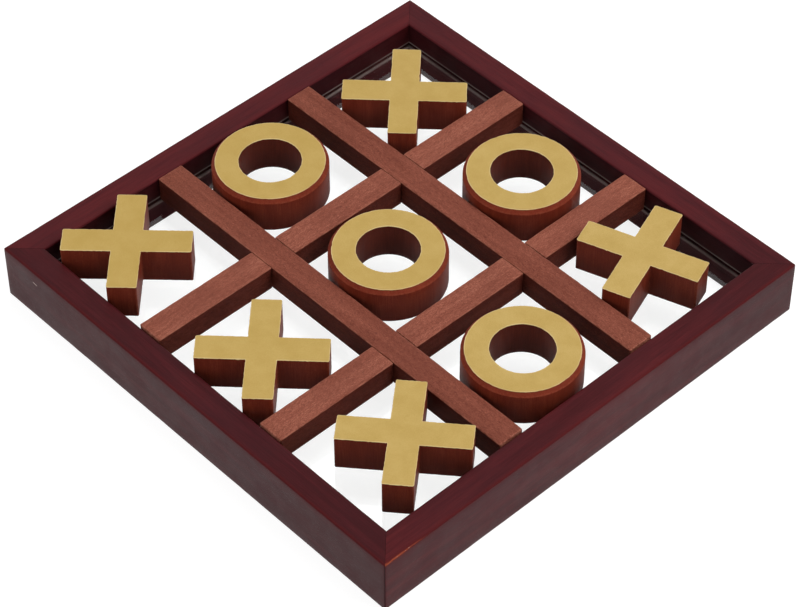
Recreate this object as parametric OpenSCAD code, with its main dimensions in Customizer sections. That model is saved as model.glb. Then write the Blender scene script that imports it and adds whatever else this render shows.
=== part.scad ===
// Tic tac toe set: a square mitred frame holds a clear glass pane at mid-height,
// a lattice of square slats stands on the pane and makes nine cells, and five X
// blocks and four O rings with thin gold faces lie on the glass inside the cells.
// Millimetres, +Z up, origin on the table under the middle of the frame.

/* [Frame] */
// Outside width and depth of the square frame
board_w = 356; // [296:1:440]
// Height of the four rails
rail_h = 41.5; // [34:0.5:54]
// Width of a rail seen from above
rail_w = 19; // [15:0.5:26]
// Radius of the sanded long edges of the rails
rail_ease = 1.2; // [0.4:0.1:2]

/* [Glass pane] */
// Thickness of the pane
pane_t = 6; // [4:0.5:8]
// Height of the underside of the pane above the table
pane_z = 18.5; // [15:0.5:20]
// Depth of the groove that holds the pane in each rail
groove_d = 6; // [3:0.5:9]
// Room between the edge of the pane and the bottom of the groove
pane_side_gap = 0.5; // [0.2:0.1:1.2]
// Room between the top of the pane and the upper wall of the groove
pane_top_gap = 0.2; // [0.1:0.05:0.6]

/* [Lattice] */
// Width of a slat
slat_w = 19.5; // [12:0.5:24]
// How far the slats stand proud of the top of the rails
slat_proud = 1.2; // [0:0.2:4]
// Radius of the sanded edges of the slats
slat_ease = 1; // [0.4:0.1:2]
// Room between the end of a slat and the frame
slat_end_gap = 0.8; // [0.3:0.1:2]
// Glue line between a cross slat and a long slat
glue_gap = 0.2; // [0.1:0.05:0.5]

/* [Corner nails] */
// Height of a V-shaped corner nail
nail_h = 10; // [6:0.5:11]
// Length of each leg of the V
nail_leg = 7; // [4:0.5:8]
// Thickness of the steel strip
nail_t = 0.6; // [0.4:0.1:1]
// How deep the nails are sunk below the underside of the rails
nail_sink = 0.4; // [0.2:0.1:1]
// Room round a nail in its slit
nail_gap = 0.05; // [0.02:0.01:0.1]

/* [Playing pieces] */
// Thickness of the wooden blocks
block_t = 25.5; // [18:0.5:32]
// Thickness of the gold faces
face_t = 0.5; // [0.3:0.1:1]
// Room left on each side of an X that stands square in its cell
x_room = 4.7; // [3:0.1:10]
// Width of the arms of an X
x_arm = 19.5; // [14:0.5:25]
// Radius of the corners at the ends of the arms
x_corner = 1.2; // [0.5:0.1:3]
// Room left on each side of an O in the middle of its cell
o_room = 8; // [4:0.1:12]
// Width of the ring of an O
o_band = 18; // [12:0.5:22]
// Bevel round the top of an O
o_bevel = 2.2; // [1:0.1:4]
// Least room between a piece and the slats or the frame
piece_gap = 0.3; // [0.2:0.1:1]

/* [Hidden] */
$fn = 96;

inner_w = board_w - 2 * rail_w;
cell_w = (inner_w - 2 * slat_w) / 3;
cell_pitch = cell_w + slat_w;
slat_at = cell_pitch / 2;

pane_w = inner_w + 2 * (groove_d - pane_side_gap);
pane_top = pane_z + pane_t;
slat_h = rail_h + slat_proud - pane_top;

long_slat_len = inner_w - 2 * slat_end_gap;
mid_slat_len = cell_w - 2 * glue_gap;
side_slat_len = cell_w - glue_gap - slat_end_gap;
side_slat_at = (slat_at + slat_w / 2 + glue_gap + inner_w / 2 - slat_end_gap) / 2;

mitre_len = rail_w * sqrt(2);
nail_spots = [0.28, 0.6];
nail_splay = 50;

x_span = cell_w - 2 * x_room;
o_d = cell_w - 2 * o_room;
o_hole_d = o_d - 2 * o_band;

// Where each piece lies: column, row, how far it is pushed towards the cell's sides
// as a share of its free play along X and Y, and the angle it is turned by.
X_SPOTS = [
    [-1, -1, -0.97, -0.97, 45.5],
    [0, -1, 0.77, -0.91, 44.5],
    [1, -1, 0.53, 0.97, 40.9],
    [-1, 1, 0.87, -0.97, 44.4],
    [1, 1, -0.97, -0.97, 19.7],
];
O_SPOTS = [
    [-1, 0, -0.31, -0.87, 0],
    [0, 0, -0.31, -0.85, 0],
    [1, 0, 0.55, -0.69, 0],
    [0, 1, 0.61, -0.93, 0],
];

RAILS = ["front_rail", "right_rail", "back_rail", "left_rail"];
LONG_SLATS = ["front_long_slat", "back_long_slat"];
SIDES = ["left", "right"];
STEPS = ["front", "middle", "back"];
X_BLOCKS = [for (i = [1:len(X_SPOTS)]) str("x_block_", i)];
X_FACES = [for (i = [1:len(X_SPOTS)]) str("x_gold_face_", i)];
O_RINGS = [for (i = [1:len(O_SPOTS)]) str("o_ring_", i)];
O_FACES = [for (i = [1:len(O_SPOTS)]) str("o_gold_face_", i)];
CROSS_SLATS = [for (side = SIDES, step = STEPS) str(side, "_", step, "_cross_slat")];

// Half the room that a turned X takes along X or Y
function x_reach(turn) =
    let (
        a = abs(cos(turn)),
        b = abs(sin(turn))
    )
    max(a, b) * x_span / 2 + min(a, b) * x_arm / 2;

function x_play(turn) = cell_w / 2 - piece_gap - x_reach(turn);
function o_play() = cell_w / 2 - piece_gap - o_d / 2;
function spot_xy(spot, play) = [for (k = [0, 1]) spot[k] * cell_pitch + spot[k + 2] * play];

// A rectangle with round corners, centred
module eased_rect(w, d, r) {
    square([w - 2 * r, d], center = true);
    square([w, d - 2 * r], center = true);
    for (x = [-1, 1], y = [-1, 1])
        translate([x * (w / 2 - r), y * (d / 2 - r)])
            circle(r);
}

// Section of a rail: X is measured from its outer face inwards, Y is its height
module rail_section() {
    difference() {
        translate([rail_w / 2, rail_h / 2])
            eased_rect(rail_w, rail_h, rail_ease);
        translate([rail_w - groove_d, pane_z])
            square([groove_d + 1, pane_t + pane_top_gap]);
    }
}

// The slope of the mitres, seen from above, for the rail along the front
module mitre_plan() {
    polygon([
        [-board_w / 2, -board_w / 2],
        [board_w / 2, -board_w / 2],
        [inner_w / 2, -inner_w / 2],
        [-inner_w / 2, -inner_w / 2],
    ]);
}

// A V nail or, with room round it, its slit. The V opens towards the inside of the frame.
module corner_nail(room, extra_h) {
    for (side = [-1, 1])
        rotate(45 + side * nail_splay)
            translate([-nail_t / 2 - room, -nail_t / 2 - room, 0])
                cube([nail_leg + 2 * room, nail_t + 2 * room, nail_h + extra_h]);
}

// The nails of one corner, from its outer edge inwards, at the front left
module nails_at_corner(room, extra_h) {
    for (share = nail_spots)
        translate([-board_w / 2, -board_w / 2, 0])
            rotate(45)
                translate([share * mitre_len, 0, 0])
                    rotate(-45)
                        corner_nail(room, extra_h);
}

// Rails are numbered anticlockwise from the front one
module rail(k) {
    color([0.33, 0.16, 0.16])
        rotate(90 * k)
            difference() {
                intersection() {
                    translate([-board_w / 2, -board_w / 2, 0])
                        rotate([90, 0, 90])
                            linear_extrude(board_w)
                                rail_section();
                    linear_extrude(rail_h)
                        intersection() {
                            mitre_plan();
                            eased_rect(board_w, board_w, rail_ease);
                        }
                }
                for (corner = [0, 90])
                    rotate(corner)
                        translate([0, 0, -1])
                            nails_at_corner(nail_gap, 1 + nail_sink + nail_gap);
            }
}

module corner_nails() {
    color([0.62, 0.62, 0.6])
        for (corner = [0:3])
            rotate(90 * corner)
                translate([0, 0, nail_sink])
                    nails_at_corner(0, 0);
}

module glass_pane() {
    color([0.85, 0.93, 0.9, 0.35])
        translate([-pane_w / 2, -pane_w / 2, pane_z])
            cube([pane_w, pane_w, pane_t]);
}

// A slat along X, standing on the pane, with its top and its ends eased
module slat(len) {
    color([0.5, 0.28, 0.24])
        translate([0, 0, pane_top])
            intersection() {
                translate([-len / 2, 0, slat_h / 2])
                    rotate([90, 0, 90])
                        linear_extrude(len)
                            eased_rect(slat_w, slat_h, slat_ease);
                linear_extrude(slat_h)
                    eased_rect(len, slat_w, slat_ease);
            }
}

module long_slat(side) {
    translate([0, side * slat_at, 0])
        slat(long_slat_len);
}

// Cross slats run along Y, one in each gap between the frame and the long slats
module cross_slat(side, step) {
    translate([side * slat_at, step * side_slat_at, 0])
        rotate(90)
            slat(step == 0 ? mid_slat_len : side_slat_len);
}

module x_outline() {
    for (turn = [0, 90])
        rotate(turn)
            eased_rect(x_span, x_arm, x_corner);
}

module place_x(i) {
    spot = X_SPOTS[i - 1];
    translate([each spot_xy(spot, x_play(spot[4])), pane_top])
        rotate(spot[4])
            children();
}

module place_o(i) {
    translate([each spot_xy(O_SPOTS[i - 1], o_play()), pane_top])
        children();
}

module x_block(i) {
    color([0.27, 0.11, 0.08])
        place_x(i)
            linear_extrude(block_t)
                x_outline();
}

module x_gold_face(i) {
    color([0.77, 0.65, 0.38])
        place_x(i)
            translate([0, 0, block_t])
                linear_extrude(face_t)
                    x_outline();
}

module o_ring(i) {
    color([0.27, 0.11, 0.08])
        place_o(i)
            rotate_extrude()
                polygon([
                    [o_hole_d / 2, 0],
                    [o_d / 2, 0],
                    [o_d / 2, block_t - o_bevel],
                    [o_d / 2 - o_bevel, block_t],
                    [o_hole_d / 2, block_t],
                ]);
}

module o_gold_face(i) {
    color([0.77, 0.65, 0.38])
        place_o(i)
            translate([0, 0, block_t])
                rotate_extrude()
                    translate([o_hole_d / 2, 0])
                        square([o_band - o_bevel, face_t]);
}

for (k = [0:3])
    rail(k);
glass_pane();
corner_nails();
for (k = [0, 1])
    long_slat(2 * k - 1);
for (s = [0, 1], t = [0:2])
    cross_slat(2 * s - 1, t - 1);
for (i = [1:len(X_SPOTS)]) {
    x_block(i);
    x_gold_face(i);
}
for (i = [1:len(O_SPOTS)]) {
    o_ring(i);
    o_gold_face(i);
}
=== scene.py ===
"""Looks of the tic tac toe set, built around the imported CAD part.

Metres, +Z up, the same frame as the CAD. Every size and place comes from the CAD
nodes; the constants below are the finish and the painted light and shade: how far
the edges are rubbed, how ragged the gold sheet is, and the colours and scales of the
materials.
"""

import math

import bpy
from mathutils import Matrix, Vector, noise


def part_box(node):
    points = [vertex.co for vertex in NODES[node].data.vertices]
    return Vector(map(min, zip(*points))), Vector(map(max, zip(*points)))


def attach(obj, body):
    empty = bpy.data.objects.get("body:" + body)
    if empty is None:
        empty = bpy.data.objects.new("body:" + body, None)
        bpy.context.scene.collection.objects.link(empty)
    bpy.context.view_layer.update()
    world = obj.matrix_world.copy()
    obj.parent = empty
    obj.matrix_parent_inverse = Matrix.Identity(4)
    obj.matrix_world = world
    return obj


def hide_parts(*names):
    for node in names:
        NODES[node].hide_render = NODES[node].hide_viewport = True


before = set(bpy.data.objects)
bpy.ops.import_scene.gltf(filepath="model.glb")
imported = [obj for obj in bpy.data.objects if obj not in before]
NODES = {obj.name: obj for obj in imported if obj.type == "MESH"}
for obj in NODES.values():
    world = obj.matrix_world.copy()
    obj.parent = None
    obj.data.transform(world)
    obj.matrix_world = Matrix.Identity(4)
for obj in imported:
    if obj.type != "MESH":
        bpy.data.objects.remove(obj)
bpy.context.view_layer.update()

MM = 0.001


# ---------------------------------------------------------------- mesh helpers

SHARP_ANGLE = math.radians(38)  # edges that turn by more than this stay sharp


def wobble(x, y, z, scale, seed):
    """Smooth noise from -1 to 1; scale is the size of its bumps in metres."""
    p = Vector((x / scale + 7.3 * seed, y / scale - 3.1 * seed, z / scale + 1.7 * seed))
    return max(-1.0, min(1.0, 1.6 * noise.noise(p)))


def bumps(x, y, z, scale, seed, floor=0.0):
    """The part of the noise that stands above floor, and 0 elsewhere."""
    return max(0, wobble(x, y, z, scale, seed) - floor)


class Loft:
    """Rings of points, joined into one surface. Each point carries values by name:
    its place in the wood (grain), its share of edge rubbing and painted highlight
    (wear), of the height (rise) and of a dark joint (seam), and how light
    it is drawn, which carries painted light and shade (tone)."""

    def __init__(self):
        self.rings = []
        self.marks = {}

    def ring(self):
        self.rings.append([])

    def point(self, place, grain, **values):
        self.rings[-1].append(place)
        self.marks.setdefault("grain", []).append(grain)
        for key, value in values.items():
            self.marks.setdefault(key, []).append(value)

    def sides(self, closed):
        """The faces between the rings, ring by ring; closed joins the last to the first."""
        n, m = len(self.rings[0]), len(self.rings)
        faces = []
        for i in range(m if closed else m - 1):
            a, b = i * n, ((i + 1) % m) * n
            for j in range(n):
                k = (j + 1) % n
                faces.append((a + j, a + k, b + k, b + j))
        return faces

    def ends(self):
        """The faces that close the first and the last ring."""
        n, m = len(self.rings[0]), len(self.rings)
        return [
            tuple(range(n - 1, -1, -1)),
            tuple((m - 1) * n + j for j in range(n)),
        ]

    def mesh(self, name, closed):
        sides = self.sides(closed)
        faces = sides if closed else sides + self.ends()
        mesh = bpy.data.meshes.new(name)
        mesh.from_pydata([tuple(p) for ring in self.rings for p in ring], [], faces)
        mesh.update()
        for key, values in self.marks.items():
            if key == "grain":
                made = mesh.attributes.new(key, "FLOAT_VECTOR", "POINT")
                made.data.foreach_set("vector", [c for v in values for c in v])
            else:
                made = mesh.attributes.new(key, "FLOAT", "POINT")
                made.data.foreach_set("value", values)
        mesh.polygons.foreach_set("use_smooth", [True] * len(mesh.polygons))
        mesh.set_sharp_from_angle(angle=SHARP_ANGLE)
        return mesh, len(sides)


def add_piece(name, loft, material, body, node, closed=False, inner=None):
    """Puts the loft in the place of a CAD node, on its body. inner is a second material
    and the columns of faces that take it."""
    mesh, side_count = loft.mesh(name, closed)
    mesh.materials.append(material)
    if inner:
        second, columns = inner
        mesh.materials.append(second)
        columns, n = set(columns), len(loft.rings[0])
        for face, polygon in enumerate(mesh.polygons[:side_count]):
            if face % n in columns:
                polygon.material_index = 1
    piece = bpy.data.objects.new(name, mesh)
    bpy.context.scene.collection.objects.link(piece)
    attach(piece, body)
    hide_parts(node)


def shifted(x, y, z, shift, seed):
    """A place in the wood, moved so that no two pieces are cut from the same spot."""
    return (x + shift[0] * seed, y + shift[1] * seed, z + shift[2] * seed)


def rounded_outline(corners, radii, arc, counts):
    """A closed outline with round corners: (x, y, outward x, outward y, on a corner).
    arc is the number of steps round a corner and counts the steps along each side."""
    out = []
    n = len(corners)
    for i in range(n):
        before, here, after = (Vector(corners[k % n]) for k in (i - 1, i, i + 1))
        d0, d1 = (here - before).normalized(), (after - here).normalized()
        r = radii[i]
        start, end = here - d0 * r, here + d1 * r
        n0, n1 = Vector((d0.y, -d0.x)), Vector((d1.y, -d1.x))
        turn = 1 if d0.x * d1.y - d0.y * d1.x > 0 else -1
        centre = start - n0 * r * turn
        for s in range(arc + 1):
            a = math.pi / 2 * s / arc
            normal = (n0 * math.cos(a) + n1 * math.sin(a)).normalized()
            p = centre + normal * r * turn
            out.append((p.x, p.y, normal.x, normal.y, True))
        following = Vector(corners[(i + 1) % n]) - d1 * radii[(i + 1) % n]
        for s in range(1, counts[i]):
            p = end.lerp(following, s / counts[i])
            out.append((p.x, p.y, n1.x, n1.y, False))
    return out


# ---------------------------------------------------------------- node helpers


class Graph:
    """The node tree of a material or of the world, with short calls for the nodes that
    the looks use."""

    def __init__(self, owner, output="ShaderNodeOutputMaterial"):
        owner.use_nodes = True
        self.owner = owner
        self.tree = owner.node_tree
        self.tree.nodes.clear()
        self.output = self.tree.nodes.new(output)

    def node(self, kind, **settings):
        made = self.tree.nodes.new(kind)
        for key, value in settings.items():
            setattr(made, key, value)
        return made

    def put(self, socket, value):
        if isinstance(value, bpy.types.NodeSocket):
            self.tree.links.new(value, socket)
        elif value is not None:
            socket.default_value = value

    def attribute(self, name, field="Fac"):
        return self.node("ShaderNodeAttribute", attribute_name=name).outputs[field]

    def stretch(self, vector, scale, shift=(0, 0, 0)):
        n = self.node("ShaderNodeMapping")
        self.put(n.inputs["Vector"], vector)
        n.inputs["Scale"].default_value = scale
        n.inputs["Location"].default_value = shift
        return n.outputs["Vector"]

    def noise(self, vector, scale=1.0, detail=2.0, roughness=0.5, distortion=0.0):
        n = self.node("ShaderNodeTexNoise")
        self.put(n.inputs["Vector"], vector)
        n.inputs["Scale"].default_value = scale
        n.inputs["Detail"].default_value = detail
        n.inputs["Roughness"].default_value = roughness
        n.inputs["Distortion"].default_value = distortion
        return n.outputs["Fac"]

    def streaks(self, vector, along, across, shift=(0, 0, 0), **settings):
        """Noise drawn out along X: its waves per metre along X, and across it."""
        return self.noise(self.stretch(vector, (along, across, across), shift), **settings)

    def math(self, operation, a, b=None):
        n = self.node("ShaderNodeMath", operation=operation)
        self.put(n.inputs[0], a)
        self.put(n.inputs[1], b)
        return n.outputs[0]

    def times(self, a, b):
        return self.math("MULTIPLY", a, b)

    def weighed(self, *parts):
        """The sum of (value, weight) parts."""
        total = None
        for value, weight in reversed(parts):
            part = self.times(value, weight)
            total = part if total is None else self.math("ADD", part, total)
        return total

    def span(self, value, low, high, out_low=0.0, out_high=1.0):
        """value from low to high, smoothly taken to out_low to out_high and clamped."""
        n = self.node("ShaderNodeMapRange", interpolation_type="SMOOTHSTEP")
        self.put(n.inputs["Value"], value)
        limits = {"From Min": low, "From Max": high, "To Min": out_low, "To Max": out_high}
        for key, limit in limits.items():
            self.put(n.inputs[key], limit)
        return n.outputs["Result"]

    def mix(self, share, a, b):
        """a where share is 0, the plain colour b where it is 1."""
        n = self.node("ShaderNodeMix", data_type="RGBA", clamp_factor=True)
        self.put(n.inputs["Factor"], share)
        self.put(n.inputs[6], a)
        self.put(n.inputs[7], (*b, 1))
        return n.outputs[2]

    def ramp(self, value, *stops):
        n = self.node("ShaderNodeValToRGB")
        ramp = n.color_ramp
        while len(ramp.elements) < len(stops):
            ramp.elements.new(0.5)
        for element, (place, colour) in zip(ramp.elements, stops):
            element.position = place
            element.color = (*colour, 1.0)
        self.put(n.inputs["Fac"], value)
        return n.outputs["Color"]

    def bump(self, height, distance, strength=1.0, normal=None):
        n = self.node("ShaderNodeBump")
        n.inputs["Strength"].default_value = strength
        n.inputs["Distance"].default_value = distance
        self.put(n.inputs["Height"], height)
        self.put(n.inputs["Normal"], normal)
        return n.outputs["Normal"]

    def principled(self, **sockets):
        n = self.node("ShaderNodeBsdfPrincipled")
        for key, value in sockets.items():
            self.put(n.inputs[key.replace("_", " ")], value)
        return n.outputs[0]

    def finish(self, shader):
        self.tree.links.new(shader, self.output.inputs["Surface"])
        return self.owner


def rgb(r, g, b):
    """An 8-bit sRGB colour as linear values."""
    return tuple(
        v / 12.92 if v <= 0.04045 else ((v + 0.055) / 1.055) ** 2.4
        for v in (c / 255 for c in (r, g, b))
    )


# ---------------------------------------------------------------- materials
#
# A colour ramp's stops run from the darkest streak of the wood to the lightest. Where a
# material has two sides, the finish is a dictionary of what differs between them, and the
# darker side is painted shade.

LACQUER_STOPS = (
    (0.0, (0.048, 0.0062, 0.0080)),
    (0.5, (0.073, 0.0092, 0.0118)),
    (1.0, (0.106, 0.0130, 0.0152)),
)
LACQUER_PORE = (0.022, 0.005, 0.006)
LACQUER_CLOUD = rgb(56, 24, 31)
RUBBED_LACQUER = rgb(84, 22, 24)
BARE_RAIL_HIGHLIGHT = rgb(176, 88, 60)
LIP_PAINTED_HIGHLIGHT = rgb(128, 112, 108)
FILLER = rgb(206, 184, 174)
JOINT_SHADOW = (0.004, 0.0015, 0.0015)
INSIDE_PAINTED_SHADE = 0.40  # painted shade: how light the thin lacquer inside the frame is drawn

SCRATCH_AT = (-147.0 * MM, 31.6 * MM)  # along the front rail, and above the table
SCRATCH_LENGTH = 5.0 * MM
SCRATCH_WIDTH = 0.8 * MM
SCRATCH_SLOPE = 0.12


def scratch_mask(g, place):
    """1 along the one scratch on the outer face of the front rail."""
    xyz = g.node("ShaderNodeSeparateXYZ")
    g.put(xyz.inputs[0], place)
    along = g.math("SUBTRACT", xyz.outputs["X"], SCRATCH_AT[0])
    line = g.math("SUBTRACT", SCRATCH_AT[1], g.times(along, SCRATCH_SLOPE))
    off = g.math("ABSOLUTE", g.math("SUBTRACT", xyz.outputs["Z"], line))
    across = g.span(off, 0.25 * SCRATCH_WIDTH, 0.6 * SCRATCH_WIDTH, 1.0, 0.0)
    from_middle = g.math("ABSOLUTE", along)
    ends = g.span(from_middle, 0.3 * SCRATCH_LENGTH, 0.5 * SCRATCH_LENGTH, 0.8, 0.0)
    return g.times(across, ends)


def frame_lacquer(name, inside):
    """Dark mahogany lacquer: close straight grain under a satin film, redder on the
    eased edges, rubbed through to the wood in a few spots, which also carry a painted
    highlight, with specks of pale filler on the edges and one scratch. Inside the frame
    it is thin and less glossy, its colours darkened with painted shade, and the lips of
    the groove carry a pale painted highlight."""
    g = Graph(bpy.data.materials.new(name))
    place = g.attribute("grain", "Vector")
    wear = g.attribute("wear")
    fibre = g.streaks(place, 60, 2200, detail=4, roughness=0.62)
    figure = g.streaks(place, 9, 150, detail=3, roughness=0.55, distortion=0.5)
    cloud = g.noise(place, scale=16, detail=3)
    pores = g.streaks(place, 190, 4200, detail=1)
    film = g.noise(place, scale=60, detail=3, roughness=0.6)
    light = g.weighed((g.attribute("tone"), 0.1), (fibre, 0.5), (figure, 0.5))
    # painted shade: inside the frame the colours are darkened
    inside_shade = INSIDE_PAINTED_SHADE if inside else 1.0
    stops = [(at, tuple(c * inside_shade for c in colour)) for at, colour in LACQUER_STOPS]
    colour = g.ramp(g.span(light, 0.30, 0.70), *stops)
    colour = g.mix(g.span(cloud, 0.42, 0.68, 0.0, 0.25), colour, LACQUER_CLOUD)
    colour = g.mix(g.span(pores, 0.62, 0.76, 0.0, 0.3), colour, LACQUER_PORE)
    if inside:
        # painted highlight: pale lines on the lips of the groove, where the pane meets the
        # walls
        bare_and_glint = g.times(g.span(wear, 0.35, 0.9), g.span(cloud, 0.25, 0.6, 0.4, 0.95))
        colour = g.mix(bare_and_glint, colour, LIP_PAINTED_HIGHLIGHT)
    else:
        patch = g.streaks(place, 90, 420, detail=4, roughness=0.7)
        edge = g.times(g.span(wear, 0.05, 0.5), g.span(patch, 0.3, 0.6, 0.4, 0.8))
        colour = g.mix(edge, colour, RUBBED_LACQUER)
        # rubbed through to the wood, and a painted highlight, on the right rail near the near
        # corner
        bare_and_glint = g.times(g.span(wear, 0.55, 0.95), g.span(patch, 0.36, 0.56))
        colour = g.mix(g.times(bare_and_glint, 0.85), colour, BARE_RAIL_HIGHLIGHT)
        chip = g.streaks(place, 420, 700, detail=1)
        speck = g.times(g.span(wear, 0.42, 0.6), g.span(chip, 0.70, 0.74))
        speck = g.math("MAXIMUM", speck, scratch_mask(g, place))
        colour = g.mix(speck, colour, FILLER)
    colour = g.mix(g.times(g.attribute("seam"), 0.9), colour, JOINT_SHADOW)
    smooth, dry = (0.55, 0.7) if inside else (0.30, 0.42)
    rough = g.math("ADD", g.span(film, 0.3, 0.7, smooth, dry), g.times(bare_and_glint, 0.14))
    relief = g.math("SUBTRACT", fibre, g.times(g.span(pores, 0.58, 0.72), 0.8))
    normal = g.bump(film, 0.22 * MM, 0.35)
    normal = g.bump(relief, 0.04 * MM, 0.55, normal)
    return g.finish(g.principled(
        Base_Color=colour, Roughness=rough, Normal=normal,
        Specular_IOR_Level=0.04 if inside else 0.08,
    ))


SLAT_PORE = rgb(56, 22, 17)
RUBBED_SLAT = rgb(190, 122, 100)
SLAT_TOP = {
    "stops": (
        (0.0, rgb(96, 46, 34)), (0.45, rgb(133, 73, 58)),
        (0.8, rgb(152, 88, 71)), (1.0, rgb(182, 116, 95)),
    ),
    "cloud": rgb(116, 62, 50), "rubbed": 0.8, "specular": 0.10,
}
# painted shade: the flanks are a darker copy of the top
SLAT_FLANK_SHADE = {
    "stops": ((0.0, rgb(58, 22, 16)), (0.5, rgb(82, 35, 26)), (1.0, rgb(110, 54, 42))),
    "cloud": rgb(70, 28, 20), "rubbed": 0.25, "specular": 0.03,
}


def slat_wood(name, finish):
    """Red-brown stained, sanded wood with an open fine grain and pale rubbed edges.
    The flanks are drawn darker than the sanded top: painted shade."""
    g = Graph(bpy.data.materials.new(name))
    place = g.attribute("grain", "Vector")
    wear = g.attribute("wear")
    fibre = g.streaks(place, 330, 2600, detail=5, roughness=0.72)
    flecks = g.streaks(place, 1300, 3200, detail=3, roughness=0.65)
    figure = g.streaks(place, 14, 190, detail=3, roughness=0.55, distortion=0.6)
    cloud = g.noise(place, scale=28, detail=2)
    pores = g.streaks(place, 420, 4600, (3, 5, 7), detail=1)
    patch = g.streaks(place, 160, 520, detail=4, roughness=0.7)
    light = g.weighed(
        (g.attribute("tone"), 0.06), (fibre, 0.42), (flecks, 0.43), (figure, 0.15)
    )
    colour = g.ramp(g.span(light, 0.36, 0.66), *finish["stops"])
    colour = g.mix(g.span(cloud, 0.40, 0.66, 0.0, 0.3), colour, finish["cloud"])
    colour = g.mix(g.span(pores, 0.60, 0.72, 0.0, 0.6), colour, SLAT_PORE)
    rubbed = g.times(g.span(wear, 0.35, 1.0), g.span(patch, 0.38, 0.66))
    colour = g.mix(g.times(rubbed, finish["rubbed"]), colour, RUBBED_SLAT)
    relief = g.math("SUBTRACT", light, g.times(g.span(pores, 0.58, 0.72), 0.7))
    return g.finish(g.principled(
        Base_Color=colour, Roughness=g.span(flecks, 0.3, 0.7, 0.52, 0.68),
        Normal=g.bump(relief, 0.12 * MM, 0.7), Specular_IOR_Level=finish["specular"],
    ))


BLOCK_STOPS = ((0.0, rgb(104, 39, 26)), (0.5, rgb(121, 48, 32)), (1.0, rgb(141, 62, 42)))
BLOCK_FOOT_SHADE = rgb(56, 17, 11)
BLOCK_SHADE = rgb(34, 10, 7)
RUBBED_BLOCK = rgb(150, 78, 58)


def block_wood():
    """Dark red-brown stained block: fine upright saw streaks, painted shade that darkens
    it towards the foot and in the holes, redder and rubbed on the edges."""
    g = Graph(bpy.data.materials.new("block_wood_mat"))
    place = g.attribute("grain", "Vector")
    streak = g.noise(g.stretch(place, (2100, 2100, 60)), detail=4, roughness=0.66)
    broad = g.noise(g.stretch(place, (120, 120, 18)), detail=3, roughness=0.6)
    grit = g.noise(g.stretch(place, (2600, 2600, 900)), detail=2)
    patch = g.noise(place, scale=520, detail=3, roughness=0.7)
    light = g.weighed((streak, 0.4), (broad, 0.3), (grit, 0.3))
    colour = g.ramp(g.span(light, 0.32, 0.70), *BLOCK_STOPS)
    # painted shade: darker towards the foot
    colour = g.mix(g.span(g.attribute("rise"), 0.0, 0.85, 0.5, 0.0), colour, BLOCK_FOOT_SHADE)
    rubbed = g.times(g.span(g.attribute("wear"), 0.3, 1.0), g.span(patch, 0.36, 0.64))
    colour = g.mix(g.times(rubbed, 0.6), colour, RUBBED_BLOCK)
    # painted shade: the walls of the holes are darker
    colour = g.mix(g.times(g.attribute("tone"), -1.0), colour, BLOCK_SHADE)
    return g.finish(g.principled(
        Base_Color=colour, Roughness=g.span(grit, 0.3, 0.7, 0.44, 0.6),
        Normal=g.bump(light, 0.12 * MM, 0.6), Specular_IOR_Level=0.07,
    ))


GOLD_STOPS = ((0.0, rgb(192, 161, 92)), (0.5, rgb(202, 171, 103)), (1.0, rgb(212, 183, 117)))
SHADED_GOLD = rgb(176, 145, 68)
GOLD_RIM_HIGHLIGHT = rgb(236, 214, 164)


def gold_sheet():
    """Satin gold sheet pressed on the wood: a fine even grain with a trace of straight
    brushing, soft clouding, a painted highlight on the rolled rim and painted shade at
    the front left."""
    g = Graph(bpy.data.materials.new("gold_sheet_mat"))
    place = g.attribute("grain", "Vector")
    brush = g.streaks(place, 400, 2600, detail=4, roughness=0.65)
    cloud = g.noise(place, scale=75, detail=3, roughness=0.6)
    grit = g.noise(place, scale=2300, detail=2)
    light = g.weighed((brush, 0.16), (cloud, 0.34), (grit, 0.5))
    colour = g.ramp(g.span(light, 0.32, 0.68), *GOLD_STOPS)
    # painted shade: the sheets at the front left are deeper in colour
    colour = g.mix(g.times(g.attribute("tone"), -1.0), colour, SHADED_GOLD)
    # painted highlight on the rolled rim
    rim = g.times(g.span(g.attribute("wear"), 0.2, 0.7), g.span(cloud, 0.3, 0.6, 0.55, 1.0))
    colour = g.mix(g.times(rim, 0.6), colour, GOLD_RIM_HIGHLIGHT)
    normal = g.bump(grit, 0.03 * MM, 0.4, g.bump(brush, 0.02 * MM, 0.25))
    return g.finish(g.principled(
        Base_Color=colour, Metallic=1.0, Normal=normal,
        Roughness=g.span(light, 0.35, 0.65, 0.38, 0.46),
    ))


GLASS_TINT = (0.995, 1.0, 0.998, 1)
SMUDGED_TINT = (0.975, 0.985, 0.98)
GLASS_SHADOW = (0.93, 0.955, 0.945, 1)  # the share of lamp light that the pane lets by


def clear_glass():
    """Clear float glass with a faint smudge film. Lamps shine through it."""
    g = Graph(bpy.data.materials.new("clear_glass_mat"))
    place = g.node("ShaderNodeTexCoord").outputs["Object"]
    smudge = g.noise(g.stretch(place, (24, 14, 20)), detail=4, roughness=0.7, distortion=1.2)
    glass = g.principled(
        Base_Color=g.mix(g.span(smudge, 0.4, 0.8), GLASS_TINT, SMUDGED_TINT),
        Roughness=g.span(smudge, 0.45, 0.8, 0.0, 0.06),
        Normal=g.bump(g.noise(place, scale=9, detail=1), 0.2 * MM, 0.1),
        IOR=1.5, Transmission_Weight=1.0, Specular_IOR_Level=0.15,
    )
    clear = g.node("ShaderNodeBsdfTransparent")
    clear.inputs["Color"].default_value = GLASS_SHADOW
    pick = g.node("ShaderNodeMixShader")
    g.put(pick.inputs[0], g.node("ShaderNodeLightPath").outputs["Is Shadow Ray"])
    g.put(pick.inputs[1], glass)
    g.put(pick.inputs[2], clear.outputs[0])
    return g.finish(pick.outputs[0])


STEEL_STOPS = ((0.0, (0.30, 0.29, 0.27)), (1.0, (0.56, 0.55, 0.53)))


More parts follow.
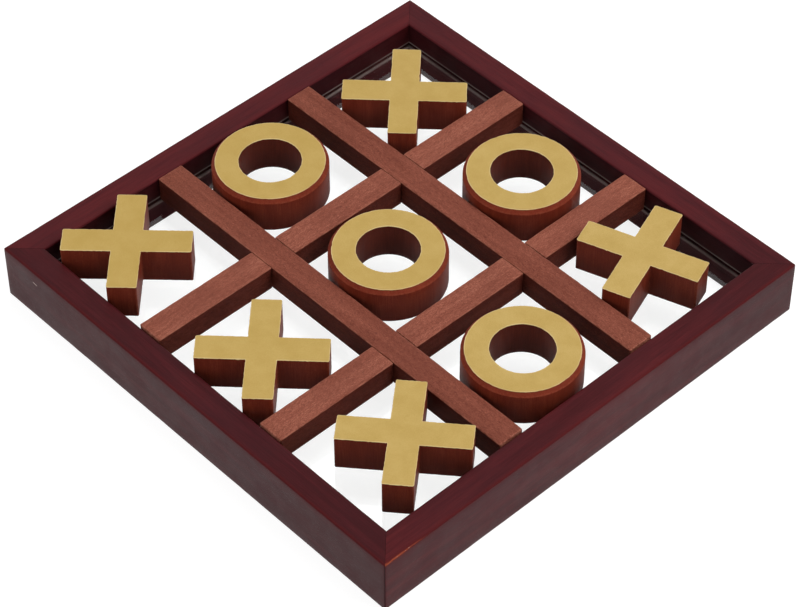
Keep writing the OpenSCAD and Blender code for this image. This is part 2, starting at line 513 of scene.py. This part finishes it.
def nail_steel():
    """Rolled steel strip, dull, with scratches along it."""
    g = Graph(bpy.data.materials.new("nail_steel_mat"))
    place = g.node("ShaderNodeTexCoord").outputs["Object"]
    scratch = g.noise(g.stretch(place, (900, 900, 6000)), detail=4, roughness=0.7)
    stain = g.noise(place, scale=300, detail=3)
    light = g.weighed((scratch, 0.5), (stain, 0.5))
    return g.finish(g.principled(
        Base_Color=g.ramp(g.span(light, 0.35, 0.65), *STEEL_STOPS), Metallic=1.0,
        Roughness=g.span(scratch, 0.3, 0.7, 0.3, 0.5),
        Normal=g.bump(scratch, 0.02 * MM, 0.5),
    ))


LACQUER = frame_lacquer("frame_lacquer_mat", False)
THIN_LACQUER_PAINTED_SHADE = frame_lacquer("frame_inside_shaded_mat", True)
SLAT = slat_wood("slat_wood_mat", SLAT_TOP)
SLAT_SIDE_SHADED = slat_wood("slat_side_shaded_mat", SLAT_FLANK_SHADE)
BLOCK = block_wood()
GOLD = gold_sheet()
GLASS = clear_glass()
STEEL = nail_steel()


# ---------------------------------------------------------------- rails

RAIL_EASE = 1.2 * MM  # radius of the sanded long edges
LIP = 0.35 * MM  # rounded lips of the groove, which carry a pale painted highlight
MITRE_EASE = 0.12 * MM  # chamfer along the mitres, which leaves a fine line
CORNER_SEAM = 0.38 * MM  # the same down the outer corners, where the joint is open
SHELF_DROP = 0.06 * MM  # the groove's shelf stays just clear of the pane
GROOVE_ROOM = 0.2 * MM  # the groove is taller than the pane by this much
GROOVE_SLACK = 0.5 * MM  # and deeper than the pane's edge reaches
RAIL_STEP = 4 * MM
RAIL_SHIFT = (0.731, 0.113, 0.057)

RAILS = ("front_rail", "right_rail", "back_rail", "left_rail")
# painted light and shade: how light each rail is drawn, front, right, back, left
RAIL_PAINTED_LIGHT = (-1.0, -0.1, 0.4, 0.8)
RUBBED_HIGHLIT_RAIL = 1  # the right rail's edge is rubbed and carries a painted highlight
RUB_HIGHLIGHT_LENGTH = 42 * MM  # this far from the near corner
CORNER_PAINTED_SHADE = 120 * MM  # painted shade: the lacquer is drawn darker this far round the back right corner


def rail_profile(width, height, groove_back, groove_low, groove_top):
    """Points round a rail's section: (distance from the outer face, height, outward
    normal, share of edge rubbing and painted highlight)."""
    corners = [
        (0, 0),
        (width, 0),
        (width, groove_low),
        (groove_back, groove_low),
        (groove_back, groove_top),
        (width, groove_top),
        (width, height),
        (0, height),
    ]
    radii = [RAIL_EASE, RAIL_EASE, LIP, LIP / 2, LIP / 2, LIP, RAIL_EASE, RAIL_EASE]
    outline = rounded_outline(corners, radii, 6, [8, 5, 3, 3, 3, 6, 8, 12])
    eased = [Vector(corners[i]) for i in (0, 1, 6, 7)]
    lips = [Vector(corners[i]) for i in (2, 5)]
    out = []
    for x, z, nx, nz, _ in outline:
        here = Vector((x, z))
        near = min((here - c).length for c in eased)
        worn_and_highlit = max(0.0, 1 - near / (1.5 * RAIL_EASE)) ** 0.4
        # the lips take the full share, which paints their pale highlight
        if min((here - c).length for c in lips) < 1.02 * LIP:
            worn_and_highlit = 1.0
        out.append((x, z, nx, nz, worn_and_highlit))
    return out


def rail_stations(half):
    """Where the rings stand, as shares of the half length, and whether each is an end.
    They are close together where the frame's corner is rounded."""
    steps = int(half / RAIL_STEP)
    shares = [i / steps for i in range(-steps + 1, steps)]
    ends = [1 - RAIL_EASE * (1 - math.sin(a * math.pi / 12)) / half for a in range(6)]
    shares = sorted(shares + ends + [-e for e in ends])
    return [(-1, True)] + [(s, False) for s in shares] + [(1, True)]


def round_corner(x, y, half):
    """The point, drawn in where it would stand outside the frame's rounded corner."""
    corner = half - RAIL_EASE
    off = Vector((abs(x) - corner, abs(y) - corner))
    if off.x > 0 and off.y > 0 and off.length > RAIL_EASE:
        off *= RAIL_EASE / off.length
        x, y = math.copysign(corner + off.x, x), -(corner + off.y)
    return x, y


def rail_wear(k, d, z, along, worn_and_highlit, width, height):
    """The share of rubbing and painted highlight: the outer top edge has most, the inner top
    edge hardly any.
    along is the distance from the rail's first end."""
    if z < height / 2:
        return 0.3 * worn_and_highlit
    if d > width / 2:
        return 0.12 * worn_and_highlit
    # rubbed, with a painted highlight, along the right rail near the near corner
    from_near = max(0.0, along) if k == RUBBED_HIGHLIT_RAIL else math.inf
    return worn_and_highlit * (0.5 + 0.5 * max(0.0, 1 - from_near / RUB_HIGHLIGHT_LENGTH) ** 0.5)


def build_rail(k, name):
    """Rails are numbered anticlockwise from the front one, as in the CAD."""
    low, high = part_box(RAILS[0])
    half, width, height = -low.y, high.y - low.y, high.z
    pane_low, pane_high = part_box("glass_pane")
    groove_back = half - pane_high.x - GROOVE_SLACK
    groove_low, groove_top = pane_low.z - SHELF_DROP, pane_high.z + GROOVE_ROOM
    profile = rail_profile(width, height, groove_back, groove_low, groove_top)
    inside = [
        j for j, (d, z, _, _, _) in enumerate(profile)
        if d > groove_back - MM and RAIL_EASE <= z <= height - RAIL_EASE * 1.1
    ]
    turn = Matrix.Rotation(math.pi / 2 * k, 4, "Z")
    loft = Loft()
    for share, last in rail_stations(half):
        loft.ring()
        for d, z, nx, nz, worn_and_highlit in profile:
            ease = CORNER_SEAM if nx < -0.5 and z > RAIL_EASE else MITRE_EASE
            if last:
                d, z = d - nx * ease, z - nz * ease
                x = share * (half - d)
            else:
                limit = half - d - 1.5 * ease
                x = max(-limit, min(limit, share * (half - d)))
            x, y = round_corner(x, d - half, half)
            if not (d > width - RAIL_EASE and groove_low - MM < z < groove_top + MM):
                dent = worn_and_highlit * (0.06 + 0.10 * bumps(x, y, z, 9 * MM, k + 1)) * MM
                dent += worn_and_highlit * 0.05 * MM * bumps(x, y, z, 2.2 * MM, k + 11)
                y -= nx * dent
                z -= nz * dent
                worn_and_highlit = rail_wear(k, d, z, half + x, worn_and_highlit, width, height)
            place = turn @ Vector((x, y, z))
            from_corner = (Vector((half, half)) - place.xy).length
            # painted light and shade: each rail's own lightness, and darker round the back
            # right corner
            loft.point(
                place, shifted(x, y, z, RAIL_SHIFT, k), wear=worn_and_highlit, seam=float(last),
                tone=RAIL_PAINTED_LIGHT[k] - 1.2 * max(0.0, 1 - from_corner / CORNER_PAINTED_SHADE),
            )
    add_piece(
        name + "_lacquered", loft, LACQUER, "board", name,
        inner=(THIN_LACQUER_PAINTED_SHADE, inside),
    )


for k, rail in enumerate(RAILS):
    build_rail(k, rail)


# ---------------------------------------------------------------- slats

SLAT_EASE = 1.0 * MM  # radius of the top edges
SLAT_FOOT = 0.4 * MM  # radius of the bottom edges
SLAT_STEP = 2.5 * MM
SLAT_SHIFT = (0.377, 0.071, 0.043)
CROSS_TONE = 0.75  # the cross slats are lighter than the long ones
FOOT_GAP = 0.03 * MM  # wood stands just off the glass, so their faces don't coincide

# how the ends roll over: (distance from the end, inset), in mm
SLAT_END = ((0.0, 0.75), (0.06, 0.45), (0.2, 0.22), (0.45, 0.06), (0.8, 0.0))


def slat_stations(length):
    """(distance along the slat, inset)."""
    rolled = SLAT_END[-1][0] * MM
    count = round(length / SLAT_STEP)
    middle = [rolled + (length - 2 * rolled) * i / count for i in range(1, count)]
    stations = [(d * MM, inset * MM) for d, inset in SLAT_END]
    stations += [(d, 0.0) for d in middle]
    return stations + [(length - d * MM, inset * MM) for d, inset in reversed(SLAT_END)]


def build_slat(name, seed):
    low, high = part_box(name)
    size = high - low
    along_x = size.x > size.y
    length, width = (size.x, size.y) if along_x else (size.y, size.x)
    base, height = low.z + FOOT_GAP, size.z - FOOT_GAP
    middle = (low + high) / 2
    side = width / 2
    corners = [(-side, 0), (side, 0), (side, height), (-side, height)]
    radii = [SLAT_FOOT, SLAT_FOOT, SLAT_EASE, SLAT_EASE]
    profile = rounded_outline(corners, radii, 5, [8, 8, 8, 8])
    top_corners = [Vector(c) for c in corners[2:]]
    flanks = [j for j, (_, _, ny, _, _) in enumerate(profile) if abs(ny) > 0.85]
    turn = Matrix.Identity(4) if along_x else Matrix.Rotation(math.pi / 2, 4, "Z")
    place = Matrix.Translation((middle.x, middle.y, base)) @ turn
    loft = Loft()
    for d, inset in slat_stations(length):
        loft.ring()
        at_end = max(0.0, 1 - min(d, length - d) / (1.0 * MM))
        for y, z, ny, nz, _ in profile:
            near = min((Vector((y, z)) - c).length for c in top_corners)
            edge = max(0.0, 1 - near / (1.35 * SLAT_EASE)) ** 0.6
            worn_and_highlit = max(edge, at_end**0.5)
            x = d - length / 2
            dent = worn_and_highlit * (0.05 + 0.16 * bumps(x, y, z, 6 * MM, seed)) * MM
            dent += worn_and_highlit * 0.12 * MM * bumps(x, y, z, 1.6 * MM, seed + 40)
            if at_end > 0:
                x -= math.copysign(0.10 * MM * bumps(x, y, z, 3 * MM, seed + 9), x)
            here = Vector((x, y - ny * (inset + dent), max(0.0, z - nz * (inset + dent))))
            loft.point(
                place @ here, shifted(x, y, z, SLAT_SHIFT, seed), wear=worn_and_highlit,
                tone=0.0 if along_x else CROSS_TONE,
            )
    # the flanks take the darker copy, painted shade
    add_piece(
        name + "_stained", loft, SLAT, "board", name,
        inner=(SLAT_SIDE_SHADED, flanks),
    )


SLATS = ["front_long_slat", "back_long_slat"]
SLATS += [f"{s}_{t}_cross_slat" for s in ("left", "right") for t in ("front", "middle", "back")]
for i, slat in enumerate(SLATS):
    build_slat(slat, i + 1)


# ---------------------------------------------------------------- X pieces

WOOD_INSET = 0.22 * MM  # the gold sheet stands proud of the wood by up to this much
X_COUNT = 5
X_CORNER = 1.2 * MM
X_INNER_CORNER = 0.3 * MM
X_SHIFT, X_GOLD_SHIFT = (0.191, 0.257, 0.083), (0.291, 0.157, 0)

# the block from its foot up, in mm: (height, extra inset, wear)
X_FOOT = ((0.0, 0.45, 0.8), (0.12, 0.18, 0.6), (0.45, 0.0, 0.2), (1.4, 0.0, 0.0))
X_MIDDLE = (5.0, 9.0, 13.0, 17.0, 21.0)
X_TOP = ((-1.0, 0.0, 0.0), (-0.3, 0.0, 0.5), (0.0, 0.08, 0.9))  # height from the top

# the sheet's edge: (share of the thickness, inset in mm, share of the painted rim highlight,
# raggedness)
X_SHEET = (
    (0.02, 0.9, 0.0, 0.0), (0.02, 0.10, 0.7, 1.0), (0.45, 0.0, 1.0, 1.0),
    (0.78, 0.04, 1.0, 1.0), (0.95, 0.16, 0.9, 0.9), (1.0, 0.38, 0.5, 0.7),
    (1.0, 1.0, 0.0, 0.0),
)
DRIPPING = (1, 2)  # the rows of X_SHEET that run down over the wood in a few spots


def gold_tone(centre):
    """Painted shade: the sheets at the front left are a little deeper in colour than the
    others.
    """
    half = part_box("glass_pane")[1].x
    return -max(0.0, min(0.4, 0.2 - 0.14 * (centre.x + 0.4 * centre.y) / half))


def plan_of(node):
    """The middle of a node, and its points in plan, from there."""
    low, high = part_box(node)
    centre = (low + high) / 2
    points = NODES[node].data.vertices
    return centre, [Vector((v.co.x - centre.x, v.co.y - centre.y)) for v in points]


def cross_of(node):
    """Centre, turn, half span and half arm width of an X, read from its CAD mesh."""
    centre, flat = plan_of(node)
    real = sum(v.length**4 * math.cos(4 * math.atan2(v.y, v.x)) for v in flat)
    imag = sum(v.length**4 * math.sin(4 * math.atan2(v.y, v.x)) for v in flat)
    turn = math.atan2(imag, real) / 4
    axis = Vector((math.cos(turn), math.sin(turn)))
    along = [abs(v.dot(axis)) for v in flat]
    across = [abs(v.x * axis.y - v.y * axis.x) for v in flat]
    span = max(along)
    arm = min(max(c for a, c in zip(along, across) if a > 0.8 * span), span)
    return centre, turn, span, arm


def cross_outline(span, arm, inset, step=0.8 * MM):
    s, a = span - inset, arm - inset
    corners = [
        (s, -a), (s, a), (a, a), (a, s), (-a, s), (-a, a),
        (-s, a), (-s, -a), (-a, -a), (-a, -s), (a, -s), (a, -a),
    ]
    outer = max(0.1 * MM, X_CORNER - inset)
    inner = X_INNER_CORNER + max(0.0, inset)
    tip, side = round(2 * arm / step), round((span - arm) / step)
    return rounded_outline(corners, [outer, outer, inner] * 4, 5, [tip, side, side] * 4)


def build_cross(i):
    wood, gold, body = f"x_block_{i}", f"x_gold_face_{i}", f"x_{i}"
    centre, turn, span, arm = cross_of(wood)
    place = Matrix.Translation((centre.x, centre.y, 0)) @ Matrix.Rotation(turn, 4, "Z")
    low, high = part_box(wood)
    base, height = low.z + FOOT_GAP, high.z - low.z - FOOT_GAP
    levels = list(X_FOOT) + [(h, 0.0, 0.0) for h in X_MIDDLE]
    levels += [(height / MM + h, inset, worn_and_highlit) for h, inset, worn_and_highlit in X_TOP]
    loft = Loft()
    for h, inset, worn_and_highlit in levels:
        loft.ring()
        h *= MM
        for x, y, nx, ny, corner in cross_outline(span, arm, WOOD_INSET + inset * MM):
            saw = 0.10 * MM * bumps(x, y, h * 0.2, 3.5 * MM, i)
            saw += 0.04 * MM * bumps(x, y, h * 0.05, 0.9 * MM, i + 20)
            loft.point(
                place @ Vector((x - nx * saw, y - ny * saw, base + h)),
                shifted(x, y, h, X_SHIFT, i),
                wear=max(worn_and_highlit, 0.75 if corner else 0.0), rise=h / height, tone=0.0,
            )
    add_piece(wood + "_sawn", loft, BLOCK, body, wood)

    low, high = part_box(gold)
    loft = Loft()
    for n, (share, inset, worn_and_highlit, rag) in enumerate(X_SHEET):
        loft.ring()
        for x, y, nx, ny, _ in cross_outline(span, arm, inset * MM, 0.5 * MM):
            cut = 0.05 + 0.22 * bumps(x, y, 0, 2.6 * MM, i + 31)
            cut += 0.16 * bumps(x, y, 0, 0.9 * MM, i + 47)
            cut += 0.5 * bumps(x, y, 0, 4.5 * MM, i + 61, 0.72)
            push = cut * rag * MM
            drip = 0.0
            if n in DRIPPING:
                drip = 0.9 * bumps(x, y, 0, 1.7 * MM, i + 73, 0.62) * MM
                push = min(push, 0.05 * MM) if drip > 0 else push
            drop = drip if n == DRIPPING[0] else 0.3 * drip
            z = low.z + (high.z - low.z) * share - drop
            loft.point(
                place @ Vector((x - nx * push, y - ny * push, z)),
                shifted(x, y, z, X_GOLD_SHIFT, i), wear=worn_and_highlit, tone=gold_tone(centre),
            )
    add_piece(gold + "_pressed", loft, GOLD, body, gold)


for i in range(1, X_COUNT + 1):
    build_cross(i)


# ---------------------------------------------------------------- O pieces

O_COUNT = 4
O_STEPS = 200  # round the wood; the gold has twice as many
O_BEVEL = 2.2 * MM
O_SHIFT, O_GOLD_SHIFT = (0.311, 0.173, 0.091), (0.271, 0.137, 0)
HOLE_PAINTED_SHADE = -0.5  # painted shade: the walls of the holes are drawn dark

# the sheet's outer edge: (inset in mm, share of the thickness, share of the painted rim
# highlight, raggedness)
O_SHEET = (
    (1.2, 0.02, 0.0, 0.0), (0.08, 0.02, 0.7, 1.0), (0.0, 0.45, 1.0, 1.0),
    (0.04, 0.78, 1.0, 1.0), (0.16, 0.95, 0.9, 0.9), (0.4, 1.0, 0.5, 0.7),
    (1.3, 1.0, 0.0, 0.0),
)
O_SHEET_MIDDLE = (7.0, 1.0, 0.0, 0.0)


def ring_profile(out, back, height):
    """Points round the wood's section, from the foot of the hole round to it again:
    (radius, height, outward, upward, wear)."""
    shoulder = height - O_BEVEL
    slope = math.sqrt(0.5)
    profile = [
        (back + 0.4 * MM, 0.0, -0.7, -0.7, 0.7),
        (out - 0.5 * MM, 0.0, 0.5, -0.8, 0.7),
        (out - 0.15 * MM, 0.12 * MM, 0.9, -0.4, 0.8),
        (out, 0.5 * MM, 1, 0, 0.3),
        (out, 1.4 * MM, 1, 0, 0.0),
    ]
    profile += [(out, h * MM, 1, 0, 0.0) for h in (5, 9, 13, 17, 20)]
    profile += [
        (out, shoulder - 1.4 * MM, 1, 0, 0.0),
        (out, shoulder - 0.35 * MM, 1, 0, 0.5),
        (out - 0.10 * MM, shoulder, 0.92, 0.38, 1.0),
        (out - 0.32 * MM, shoulder + 0.25 * MM, slope, slope, 0.7),
        (out - 1.1 * MM, shoulder + 1.05 * MM, slope, slope, 0.45),
        (out - 1.9 * MM, shoulder + 1.85 * MM, slope, slope, 0.6),
        (out - 2.12 * MM, height - 0.06 * MM, 0.38, 0.92, 0.8),
        (out - 2.4 * MM, height, 0, 1, 0.5),
        (out - 4.0 * MM, height, 0, 1, 0.0),
        (back + 1.2 * MM, height, 0, 1, 0.0),
        (back + 0.12 * MM, height, 0, 1, 0.8),
        (back, height - 0.25 * MM, -1, 0, 0.6),
        (back, height - 1.0 * MM, -1, 0, 0.0),
    ]
    profile += [(back, h * MM, -1, 0, 0.0) for h in (20, 16, 12, 8, 4)]
    return profile + [(back, 0.5 * MM, -1, 0, 0.3)]


def build_ring(i):
    wood, gold, body = f"o_ring_{i}", f"o_gold_face_{i}", f"o_{i}"
    low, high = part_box(wood)
    centre, flat = plan_of(wood)
    hole = min(v.length for v in flat)
    back = hole + WOOD_INSET
    base, height = low.z + FOOT_GAP, high.z - low.z - FOOT_GAP
    profile = ring_profile((high.x - low.x) / 2, back, height)
    loft = Loft()
    for s in range(O_STEPS):
        a = 2 * math.pi * s / O_STEPS
        c, d = math.cos(a), math.sin(a)
        loft.ring()
        for r, h, nr, nz, worn_and_highlit in profile:
            x, y = r * c, r * d
            saw = 0.09 * MM * bumps(x, y, h * 0.2, 4 * MM, i + 5)
            saw += 0.05 * MM * bumps(x, y, h * 0.05, 1.3 * MM, i + 25)
            if nz > 0.5 and worn_and_highlit > 0.3:
                saw += 0.12 * MM * bumps(x, y, h, 2.2 * MM, i + 35)
            if h == 0.0 or (nr == 0 and worn_and_highlit == 0.0):
                saw = 0.0
            cut_r = r - nr * saw
            z = base + h - max(0.0, nz) * saw
            loft.point(
                Vector((centre.x + cut_r * c, centre.y + cut_r * d, z)),
                shifted(x, y, h, O_SHIFT, i), wear=worn_and_highlit, rise=h / height,
                tone=HOLE_PAINTED_SHADE if nr < 0 and r < back + MM else 0.0,
            )
    add_piece(wood + "_turned", loft, BLOCK, body, wood, closed=True)

    low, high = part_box(gold)
    outer = (high.x - low.x) / 2
    # side is 1 at the outer edge and -1 at the hole
    section = [(1, *row) for row in (*O_SHEET, O_SHEET_MIDDLE)]
    section += [(-1, *row) for row in reversed(O_SHEET)]
    steps = O_STEPS * 2
    loft = Loft()
    for s in range(steps):
        a = 2 * math.pi * s / steps
        c, d = math.cos(a), math.sin(a)
        loft.ring()
        for side, inset, share, worn_and_highlit, rag in section:
            edge = outer if side > 0 else hole
            r = edge - side * inset * MM
            x, y = r * c, r * d
            ex, ey = edge * c, edge * d
            cut = 0.04 + 0.20 * bumps(ex, ey, side, 2.8 * MM, i + 131)
            cut += 0.14 * bumps(ex, ey, side, 1.0 * MM, i + 147)
            cut += 0.6 * bumps(ex, ey, side, 5 * MM, i + 161, 0.66)
            r -= side * cut * rag * MM
            z = low.z + (high.z - low.z) * share
            loft.point(
                Vector((centre.x + r * c, centre.y + r * d, z)),
                shifted(x, y, z, O_GOLD_SHIFT, i), wear=worn_and_highlit, tone=gold_tone(centre),
            )
    add_piece(gold + "_pressed", loft, GOLD, body, gold, closed=True)


for i in range(1, O_COUNT + 1):
    build_ring(i)


# ---------------------------------------------------------------- CAD nodes that stay

for node, material in (("glass_pane", GLASS), ("corner_nails", STEEL)):
    for slot in NODES[node].material_slots:
        slot.material = material


# ---------------------------------------------------------------- floor, light, camera

FLOOR_SIZE = 12.0
FLOOR_DROP = 0.2 * MM
FLOOR_BOUNCE = 0.85  # the floor's grey for the light that it sends back to the object
FLOOR_SEEN = 0.28  # its grey where it is looked at, which carries the shadow
FLOOR_GLOW = 0.89  # its own light where it is looked at
WORLD_LIGHT = 0.30  # the light that falls on the object from all round
WORLD_SEEN = 1.0

LAMP_DISTANCE = 1.7
# (name, direction, size, watts)
LAMPS = (
    ("key_softbox", (0.62, 0.40, 0.85), 1.1, 15),
    ("fill_softbox", (-0.25, -0.90, 0.50), 1.1, 6),
    ("top_softbox", (-0.25, 0.30, 1.0), 1.2, 8),
)

CAMERA_PLACE = (0.95881, -0.89500, 1.35849)
CAMERA_AZIMUTH, CAMERA_ELEVATION, CAMERA_ROLL = 46.866, 46.047, -0.145
CAMERA_LENS = 131.83
CAMERA_SHIFT = -0.0031


def seen_rays(g):
    """1 on a camera, glossy or transmission ray, 0 on the others."""
    path = g.node("ShaderNodeLightPath")
    either = g.math("MAXIMUM", path.outputs["Is Camera Ray"], path.outputs["Is Glossy Ray"])
    return g.math("MAXIMUM", either, path.outputs["Is Transmission Ray"])


def floor_material():
    g = Graph(bpy.data.materials.new("floor_mat"))
    seen = seen_rays(g)
    shade = g.span(seen, 0.0, 1.0, FLOOR_BOUNCE, FLOOR_SEEN)
    grey = g.node("ShaderNodeCombineColor")
    for socket in grey.inputs[:3]:
        g.put(socket, shade)
    plain = g.node("ShaderNodeBsdfDiffuse")
    g.put(plain.inputs["Color"], grey.outputs[0])
    glow = g.node("ShaderNodeEmission")
    glow.inputs["Color"].default_value = (1, 1, 1, 1)
    g.put(glow.inputs["Strength"], g.times(seen, FLOOR_GLOW))
    both = g.node("ShaderNodeAddShader")
    g.put(both.inputs[0], plain.outputs[0])
    g.put(both.inputs[1], glow.outputs[0])
    return g.finish(both.outputs[0])


def add_floor():
    mesh = bpy.data.meshes.new("floor")
    s = FLOOR_SIZE / 2
    mesh.from_pydata([(-s, -s, 0), (s, -s, 0), (s, s, 0), (-s, s, 0)], [], [(0, 1, 2, 3)])
    floor = bpy.data.objects.new("floor", mesh)
    bpy.context.scene.collection.objects.link(floor)
    mesh.materials.append(floor_material())
    floor.location.z = -FLOOR_DROP


def add_world():
    world = bpy.data.worlds.new("studio")
    bpy.context.scene.world = world
    g = Graph(world, "ShaderNodeOutputWorld")
    back = g.node("ShaderNodeBackground")
    back.inputs["Color"].default_value = (1, 1, 1, 1)
    g.put(back.inputs["Strength"], g.span(seen_rays(g), 0.0, 1.0, WORLD_LIGHT, WORLD_SEEN))
    g.finish(back.outputs[0])


def add_softbox(name, direction, size, power):
    """A square lamp that looks at the middle of the board. Gloss doesn't show it."""
    data = bpy.data.lights.new(name, "AREA")
    data.shape = "SQUARE"
    data.size = size
    data.energy = power
    lamp = bpy.data.objects.new(name, data)
    bpy.context.scene.collection.objects.link(lamp)
    aim = Vector(direction).normalized()
    lamp.location = aim * LAMP_DISTANCE
    lamp.rotation_mode = "QUATERNION"
    lamp.rotation_quaternion = aim.to_track_quat("Z", "Y")
    lamp.visible_glossy = False


def add_camera():
    data = bpy.data.cameras.new("camera")
    data.sensor_width = 36
    data.lens = CAMERA_LENS
    data.shift_x = CAMERA_SHIFT
    data.clip_start, data.clip_end = 0.05, 50
    camera = bpy.data.objects.new("camera", data)
    bpy.context.scene.collection.objects.link(camera)
    a, e = math.radians(CAMERA_AZIMUTH), math.radians(CAMERA_ELEVATION)
    back = Vector((math.sin(a) * math.cos(e), -math.cos(a) * math.cos(e), math.sin(e)))
    right = Vector((math.cos(a), math.sin(a), 0))
    turn = Matrix((right, back.cross(right), back)).transposed()
    roll = Matrix.Rotation(math.radians(CAMERA_ROLL), 3, "Z")
    camera.rotation_mode = "QUATERNION"
    camera.rotation_quaternion = (turn @ roll).to_quaternion()
    camera.location = CAMERA_PLACE
    bpy.context.scene.camera = camera


add_floor()
add_world()
for lamp in LAMPS:
    add_softbox(*lamp)
add_camera()

scene = bpy.context.scene
scene.view_settings.view_transform = "Standard"
